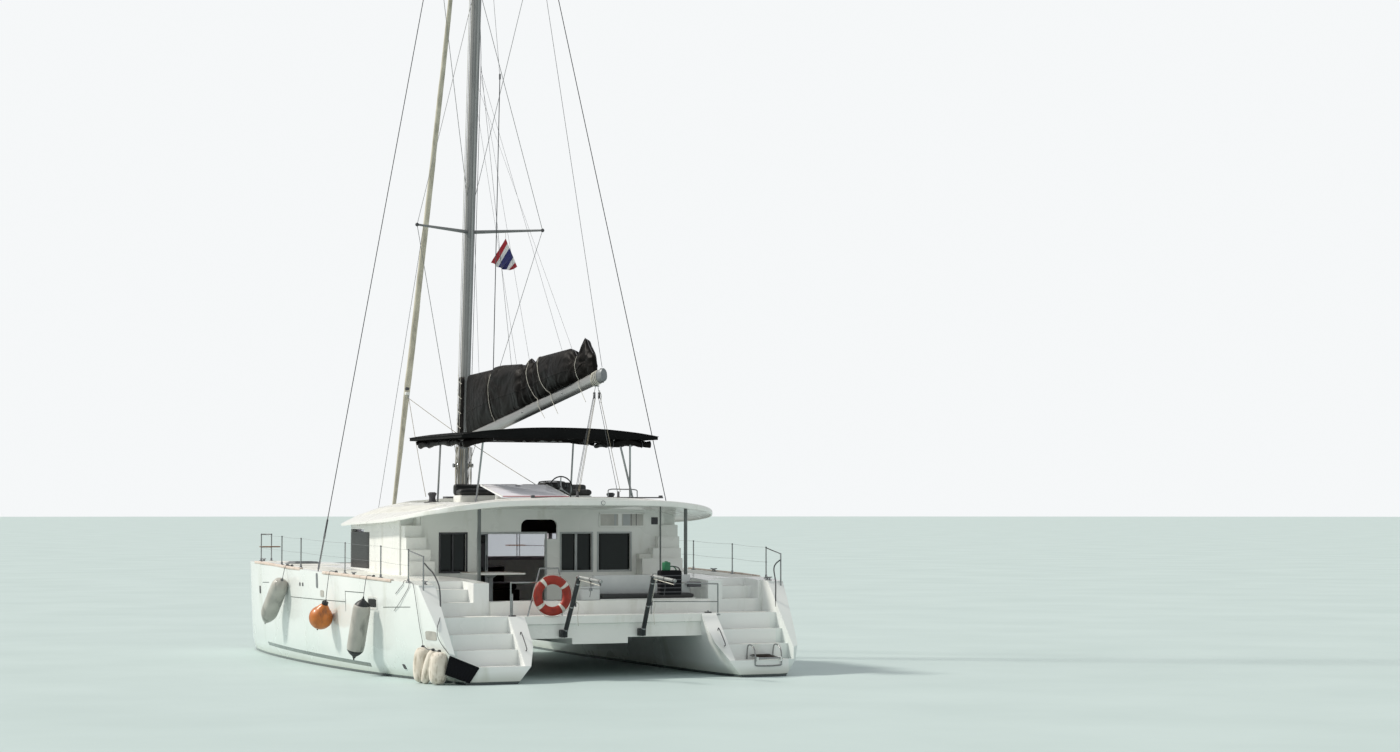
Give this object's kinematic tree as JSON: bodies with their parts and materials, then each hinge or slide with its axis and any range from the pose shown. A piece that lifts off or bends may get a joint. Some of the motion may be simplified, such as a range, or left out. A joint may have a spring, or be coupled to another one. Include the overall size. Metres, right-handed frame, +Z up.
{
  "type": "sailing catamaran",
  "caption": "cruising sailing catamaran with flybridge, bimini, rolled genoa and bagged mainsail; hulls joined by a bridgedeck with cabin and cockpit",
  "frame": {"origin": "on the centreline at the waterline, halfway along the boat", "axes": "+X to starboard, +Y forward to the bows, +Z up the mast"},
  "size_m": [8.3052, 14.6548, 23.2],
  "materials": {
    "gelcoat": "white gelcoat on moulded glass fibre, glossy with fine marks",
    "antifoul": "dull dark antifouling paint",
    "dark_glass": "dark tinted glazing",
    "alloy": "satin anodised spar alloy",
    "steel": "polished stainless steel tube and wire",
    "bronze": "cast bronze",
    "black_cloth": "black woven acrylic canvas",
    "cream_cloth": "cream sailcloth with an ultraviolet strip",
    "net": "white woven netting",
    "rubber": "black rubber",
    "buoy_red": "red-orange foam with white bands",
    "orange": "orange inflatable vinyl",
    "fender_grey": "grey inflatable vinyl",
    "fender_cream": "cream inflatable vinyl",
    "black_plastic": "black moulded casing",
    "flag_cloth": "thin printed bunting"
  },
  "bodies": {
    "root": {"hull_port": "gelcoat", "hull_starboard": "gelcoat", "bridgedeck": "gelcoat", "hardtop": "gelcoat", "cabin_shell": "gelcoat", "aft_bulkhead": "gelcoat", "fly_stair": "gelcoat", "fly_stair_port": "gelcoat", "cockpit_table": "gelcoat", "aft_bench": "gelcoat", "fly_panel": "gelcoat", "helm_console": "gelcoat", "keel_port": "antifoul", "keel_starboard": "antifoul", "saildrive_port": "alloy", "saildrive_starboard": "alloy", "mast_post": "alloy", "roof_post_port": "alloy", "roof_post_starboard": "alloy", "mast": "alloy", "crossbeam": "alloy", "davit_port": "alloy", "davit_starboard": "alloy", "cabin_glass": "dark_glass", "aft_glass_port": "dark_glass", "aft_glass_starboard": "dark_glass", "cockpit_settee": "black_cloth", "fly_seat": "black_cloth", "bimini_canopy": "black_cloth", "saloon_sofa": "black_cloth", "bimini_frame": "steel", "shroud_port": "steel", "shroud_starboard": "steel", "lifelines_port": "steel", "lifelines_starboard": "steel", "gate_rail_port": "steel", "gate_rail_starboard": "steel", "stern_rail_port": "steel", "stern_rail_starboard": "steel", "genoa": "cream_cloth", "trampoline": "net", "lifebuoy": "buoy_red", "fender_ball": "orange", "fender_fore": "fender_grey", "fender_mid": "fender_grey", "fenders_stern": "fender_cream", "stern_mat": "rubber", "rail_unit": "black_plastic", "flag": "flag_cloth"},
    "boom": {"boom": "alloy", "sail_bag": "black_cloth"},
    "rudder_port": {"rudder_port": "antifoul"},
    "rudder_starboard": {"rudder_starboard": "antifoul"},
    "helm_wheel": {"helm_wheel": "steel"},
    "propeller_port": {"propeller_port": "bronze"},
    "propeller_starboard": {"propeller_starboard": "bronze"},
    "saloon_door": {"saloon_door": "dark_glass"},
    "swim_ladder": {"swim_ladder": "steel"},
    "hatch_port": {"hatch_port": "dark_glass"},
    "hatch_starboard": {"hatch_starboard": "dark_glass"}
  },
  "joints": [
    {"name": "boom_swing", "type": "hinge", "parent": "root", "child": "boom", "pos_m": [0, 1.75926, 4.53], "axis": [0, -0.0728, 0.9973], "range_deg": [-40, 40]},
    {"name": "rudder_turn_port", "type": "hinge", "parent": "root", "child": "rudder_port", "pos_m": [-2.64, -5.75, -0.7], "axis": [0, 0, 1], "range_deg": [-35, 35]},
    {"name": "rudder_turn_starboard", "type": "hinge", "parent": "root", "child": "rudder_starboard", "pos_m": [2.64, -5.75, -0.7], "axis": [0, 0, 1], "range_deg": [-35, 35]},
    {"name": "wheel_turn", "type": "hinge", "parent": "root", "child": "helm_wheel", "pos_m": [1.02, -1, 3.49], "axis": [0, 1, 0], "range_deg": [-420, 420]},
    {"name": "propeller_spin_port", "type": "hinge", "parent": "root", "child": "propeller_port", "pos_m": [-2.8, -4.39, -0.7], "axis": [0, 1, 0], "continuous": true},
    {"name": "propeller_spin_starboard", "type": "hinge", "parent": "root", "child": "propeller_starboard", "pos_m": [2.8, -4.39, -0.7], "axis": [0, 1, 0], "continuous": true},
    {"name": "saloon_door_slide", "type": "slide", "parent": "root", "child": "saloon_door", "axis": [1, 0, 0], "range_m": [0, 1.17]},
    {"name": "swim_ladder_fold", "type": "hinge", "parent": "root", "child": "swim_ladder", "pos_m": [2.73, -7.025, 0.345], "axis": [1, 0, 0], "range_deg": [0, 262]},
    {"name": "hatch_lift_port", "type": "hinge", "parent": "root", "child": "hatch_port", "pos_m": [-3, 3.82, 1.969], "axis": [-1, 0, 0], "range_deg": [0, 100]},
    {"name": "hatch_lift_starboard", "type": "hinge", "parent": "root", "child": "hatch_starboard", "pos_m": [3, 3.82, 1.969], "axis": [-1, 0, 0], "range_deg": [0, 100]}
  ],
  "couplings": [
    {"joint": "rudder_turn_starboard", "follows": "rudder_turn_port", "ratio": 1},
    {"joint": "wheel_turn", "follows": "rudder_turn_port", "ratio": 12}
  ]
}
